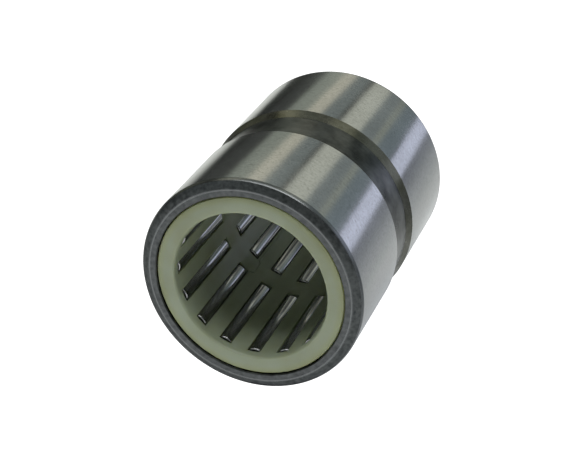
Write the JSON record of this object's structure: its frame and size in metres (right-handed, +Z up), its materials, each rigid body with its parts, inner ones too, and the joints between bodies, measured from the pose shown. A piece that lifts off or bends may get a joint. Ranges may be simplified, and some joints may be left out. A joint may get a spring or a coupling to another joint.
{
  "type": "needle roller bearing",
  "caption": "Thick-walled ring with a wide outside groove, lined by a moulded cage with two aligned rows of needle rollers that a shaft runs on.",
  "frame": {"origin": "centre of the outer ring, on the bearing axis halfway between its end faces", "axes": "+Y along the bearing axis from the front end to the rear end, +Z up with the bearing lying on its side"},
  "size_m": [0.047, 0.059, 0.047],
  "materials": {
    "ring_steel": "ground hardened steel, turned groove",
    "cage_polyamide": "moulded natural polyamide, lightly oiled",
    "needle_steel": "lapped hardened steel"
  },
  "bodies": {
    "outer_ring": {"outer_ring": "ring_steel"},
    "cage": {"cage": "cage_polyamide"},
    "needle_front_01": {"needle_front_01": "needle_steel"},
    "needle_front_02": {"needle_front_02": "needle_steel"},
    "needle_front_03": {"needle_front_03": "needle_steel"},
    "needle_front_04": {"needle_front_04": "needle_steel"},
    "needle_front_05": {"needle_front_05": "needle_steel"},
    "needle_front_06": {"needle_front_06": "needle_steel"},
    "needle_front_07": {"needle_front_07": "needle_steel"},
    "needle_front_08": {"needle_front_08": "needle_steel"},
    "needle_front_09": {"needle_front_09": "needle_steel"},
    "needle_front_10": {"needle_front_10": "needle_steel"},
    "needle_front_11": {"needle_front_11": "needle_steel"},
    "needle_front_12": {"needle_front_12": "needle_steel"},
    "needle_front_13": {"needle_front_13": "needle_steel"},
    "needle_front_14": {"needle_front_14": "needle_steel"},
    "needle_front_15": {"needle_front_15": "needle_steel"},
    "needle_front_16": {"needle_front_16": "needle_steel"},
    "needle_rear_01": {"needle_rear_01": "needle_steel"},
    "needle_rear_02": {"needle_rear_02": "needle_steel"},
    "needle_rear_03": {"needle_rear_03": "needle_steel"},
    "needle_rear_04": {"needle_rear_04": "needle_steel"},
    "needle_rear_05": {"needle_rear_05": "needle_steel"},
    "needle_rear_06": {"needle_rear_06": "needle_steel"},
    "needle_rear_07": {"needle_rear_07": "needle_steel"},
    "needle_rear_08": {"needle_rear_08": "needle_steel"},
    "needle_rear_09": {"needle_rear_09": "needle_steel"},
    "needle_rear_10": {"needle_rear_10": "needle_steel"},
    "needle_rear_11": {"needle_rear_11": "needle_steel"},
    "needle_rear_12": {"needle_rear_12": "needle_steel"},
    "needle_rear_13": {"needle_rear_13": "needle_steel"},
    "needle_rear_14": {"needle_rear_14": "needle_steel"},
    "needle_rear_15": {"needle_rear_15": "needle_steel"},
    "needle_rear_16": {"needle_rear_16": "needle_steel"}
  },
  "joints": [
    {"name": "cage_spin", "type": "hinge", "parent": "outer_ring", "child": "cage", "pos_m": [0, -0.0008, 0], "axis": [0, 1, 0], "continuous": true},
    {"name": "needle_front_01_spin", "type": "hinge", "parent": "cage", "child": "needle_front_01", "pos_m": [0, -0.01535, 0.018], "axis": [0, 1, 0], "continuous": true},
    {"name": "needle_front_02_spin", "type": "hinge", "parent": "cage", "child": "needle_front_02", "pos_m": [-0.00689, -0.01535, 0.01663], "axis": [0, 1, 0], "continuous": true},
    {"name": "needle_front_03_spin", "type": "hinge", "parent": "cage", "child": "needle_front_03", "pos_m": [-0.01273, -0.01535, 0.01273], "axis": [0, 1, 0], "continuous": true},
    {"name": "needle_front_04_spin", "type": "hinge", "parent": "cage", "child": "needle_front_04", "pos_m": [-0.01663, -0.01535, 0.00689], "axis": [0, 1, 0], "continuous": true},
    {"name": "needle_front_05_spin", "type": "hinge", "parent": "cage", "child": "needle_front_05", "pos_m": [-0.018, -0.01535, 0], "axis": [0, 1, 0], "continuous": true},
    {"name": "needle_front_06_spin", "type": "hinge", "parent": "cage", "child": "needle_front_06", "pos_m": [-0.01663, -0.01535, -0.00689], "axis": [0, 1, 0], "continuous": true},
    {"name": "needle_front_07_spin", "type": "hinge", "parent": "cage", "child": "needle_front_07", "pos_m": [-0.01273, -0.01535, -0.01273], "axis": [0, 1, 0], "continuous": true},
    {"name": "needle_front_08_spin", "type": "hinge", "parent": "cage", "child": "needle_front_08", "pos_m": [-0.00689, -0.01535, -0.01663], "axis": [0, 1, 0], "continuous": true},
    {"name": "needle_front_09_spin", "type": "hinge", "parent": "cage", "child": "needle_front_09", "pos_m": [0, -0.01535, -0.018], "axis": [0, 1, 0], "continuous": true},
    {"name": "needle_front_10_spin", "type": "hinge", "parent": "cage", "child": "needle_front_10", "pos_m": [0.00689, -0.01535, -0.01663], "axis": [0, 1, 0], "continuous": true},
    {"name": "needle_front_11_spin", "type": "hinge", "parent": "cage", "child": "needle_front_11", "pos_m": [0.01273, -0.01535, -0.01273], "axis": [0, 1, 0], "continuous": true},
    {"name": "needle_front_12_spin", "type": "hinge", "parent": "cage", "child": "needle_front_12", "pos_m": [0.01663, -0.01535, -0.00689], "axis": [0, 1, 0], "continuous": true},
    {"name": "needle_front_13_spin", "type": "hinge", "parent": "cage", "child": "needle_front_13", "pos_m": [0.018, -0.01535, 0], "axis": [0, 1, 0], "continuous": true},
    {"name": "needle_front_14_spin", "type": "hinge", "parent": "cage", "child": "needle_front_14", "pos_m": [0.01663, -0.01535, 0.00689], "axis": [0, 1, 0], "continuous": true},
    {"name": "needle_front_15_spin", "type": "hinge", "parent": "cage", "child": "needle_front_15", "pos_m": [0.01273, -0.01535, 0.01273], "axis": [0, 1, 0], "continuous": true},
    {"name": "needle_front_16_spin", "type": "hinge", "parent": "cage", "child": "needle_front_16", "pos_m": [0.00689, -0.01535, 0.01663], "axis": [0, 1, 0], "continuous": true},
    {"name": "needle_rear_01_spin", "type": "hinge", "parent": "cage", "child": "needle_rear_01", "pos_m": [0, 0.01375, 0.018], "axis": [0, 1, 0], "continuous": true},
    {"name": "needle_rear_02_spin", "type": "hinge", "parent": "cage", "child": "needle_rear_02", "pos_m": [-0.00689, 0.01375, 0.01663], "axis": [0, 1, 0], "continuous": true},
    {"name": "needle_rear_03_spin", "type": "hinge", "parent": "cage", "child": "needle_rear_03", "pos_m": [-0.01273, 0.01375, 0.01273], "axis": [0, 1, 0], "continuous": true},
    {"name": "needle_rear_04_spin", "type": "hinge", "parent": "cage", "child": "needle_rear_04", "pos_m": [-0.01663, 0.01375, 0.00689], "axis": [0, 1, 0], "continuous": true},
    {"name": "needle_rear_05_spin", "type": "hinge", "parent": "cage", "child": "needle_rear_05", "pos_m": [-0.018, 0.01375, 0], "axis": [0, 1, 0], "continuous": true},
    {"name": "needle_rear_06_spin", "type": "hinge", "parent": "cage", "child": "needle_rear_06", "pos_m": [-0.01663, 0.01375, -0.00689], "axis": [0, 1, 0], "continuous": true},
    {"name": "needle_rear_07_spin", "type": "hinge", "parent": "cage", "child": "needle_rear_07", "pos_m": [-0.01273, 0.01375, -0.01273], "axis": [0, 1, 0], "continuous": true},
    {"name": "needle_rear_08_spin", "type": "hinge", "parent": "cage", "child": "needle_rear_08", "pos_m": [-0.00689, 0.01375, -0.01663], "axis": [0, 1, 0], "continuous": true},
    {"name": "needle_rear_09_spin", "type": "hinge", "parent": "cage", "child": "needle_rear_09", "pos_m": [0, 0.01375, -0.018], "axis": [0, 1, 0], "continuous": true},
    {"name": "needle_rear_10_spin", "type": "hinge", "parent": "cage", "child": "needle_rear_10", "pos_m": [0.00689, 0.01375, -0.01663], "axis": [0, 1, 0], "continuous": true},
    {"name": "needle_rear_11_spin", "type": "hinge", "parent": "cage", "child": "needle_rear_11", "pos_m": [0.01273, 0.01375, -0.01273], "axis": [0, 1, 0], "continuous": true},
    {"name": "needle_rear_12_spin", "type": "hinge", "parent": "cage", "child": "needle_rear_12", "pos_m": [0.01663, 0.01375, -0.00689], "axis": [0, 1, 0], "continuous": true},
    {"name": "needle_rear_13_spin", "type": "hinge", "parent": "cage", "child": "needle_rear_13", "pos_m": [0.018, 0.01375, 0], "axis": [0, 1, 0], "continuous": true},
    {"name": "needle_rear_14_spin", "type": "hinge", "parent": "cage", "child": "needle_rear_14", "pos_m": [0.01663, 0.01375, 0.00689], "axis": [0, 1, 0], "continuous": true},
    {"name": "needle_rear_15_spin", "type": "hinge", "parent": "cage", "child": "needle_rear_15", "pos_m": [0.01273, 0.01375, 0.01273], "axis": [0, 1, 0], "continuous": true},
    {"name": "needle_rear_16_spin", "type": "hinge", "parent": "cage", "child": "needle_rear_16", "pos_m": [0.00689, 0.01375, 0.01663], "axis": [0, 1, 0], "continuous": true}
  ],
  "couplings": [
    {"joint": "needle_front_01_spin", "follows": "cage_spin", "ratio": -10.01},
    {"joint": "needle_front_02_spin", "follows": "cage_spin", "ratio": -10.01},
    {"joint": "needle_front_03_spin", "follows": "cage_spin", "ratio": -10.01},
    {"joint": "needle_front_04_spin", "follows": "cage_spin", "ratio": -10.01},
    {"joint": "needle_front_05_spin", "follows": "cage_spin", "ratio": -10.01},
    {"joint": "needle_front_06_spin", "follows": "cage_spin", "ratio": -10.01},
    {"joint": "needle_front_07_spin", "follows": "cage_spin", "ratio": -10.01},
    {"joint": "needle_front_08_spin", "follows": "cage_spin", "ratio": -10.01},
    {"joint": "needle_front_09_spin", "follows": "cage_spin", "ratio": -10.01},
    {"joint": "needle_front_10_spin", "follows": "cage_spin", "ratio": -10.01},
    {"joint": "needle_front_11_spin", "follows": "cage_spin", "ratio": -10.01},
    {"joint": "needle_front_12_spin", "follows": "cage_spin", "ratio": -10.01},
    {"joint": "needle_front_13_spin", "follows": "cage_spin", "ratio": -10.01},
    {"joint": "needle_front_14_spin", "follows": "cage_spin", "ratio": -10.01},
    {"joint": "needle_front_15_spin", "follows": "cage_spin", "ratio": -10.01},
    {"joint": "needle_front_16_spin", "follows": "cage_spin", "ratio": -10.01},
    {"joint": "needle_rear_01_spin", "follows": "cage_spin", "ratio": -10.01},
    {"joint": "needle_rear_02_spin", "follows": "cage_spin", "ratio": -10.01},
    {"joint": "needle_rear_03_spin", "follows": "cage_spin", "ratio": -10.01},
    {"joint": "needle_rear_04_spin", "follows": "cage_spin", "ratio": -10.01},
    {"joint": "needle_rear_05_spin", "follows": "cage_spin", "ratio": -10.01},
    {"joint": "needle_rear_06_spin", "follows": "cage_spin", "ratio": -10.01},
    {"joint": "needle_rear_07_spin", "follows": "cage_spin", "ratio": -10.01},
    {"joint": "needle_rear_08_spin", "follows": "cage_spin", "ratio": -10.01},
    {"joint": "needle_rear_09_spin", "follows": "cage_spin", "ratio": -10.01},
    {"joint": "needle_rear_10_spin", "follows": "cage_spin", "ratio": -10.01},
    {"joint": "needle_rear_11_spin", "follows": "cage_spin", "ratio": -10.01},
    {"joint": "needle_rear_12_spin", "follows": "cage_spin", "ratio": -10.01},
    {"joint": "needle_rear_13_spin", "follows": "cage_spin", "ratio": -10.01},
    {"joint": "needle_rear_14_spin", "follows": "cage_spin", "ratio": -10.01},
    {"joint": "needle_rear_15_spin", "follows": "cage_spin", "ratio": -10.01},
    {"joint": "needle_rear_16_spin", "follows": "cage_spin", "ratio": -10.01}
  ]
}
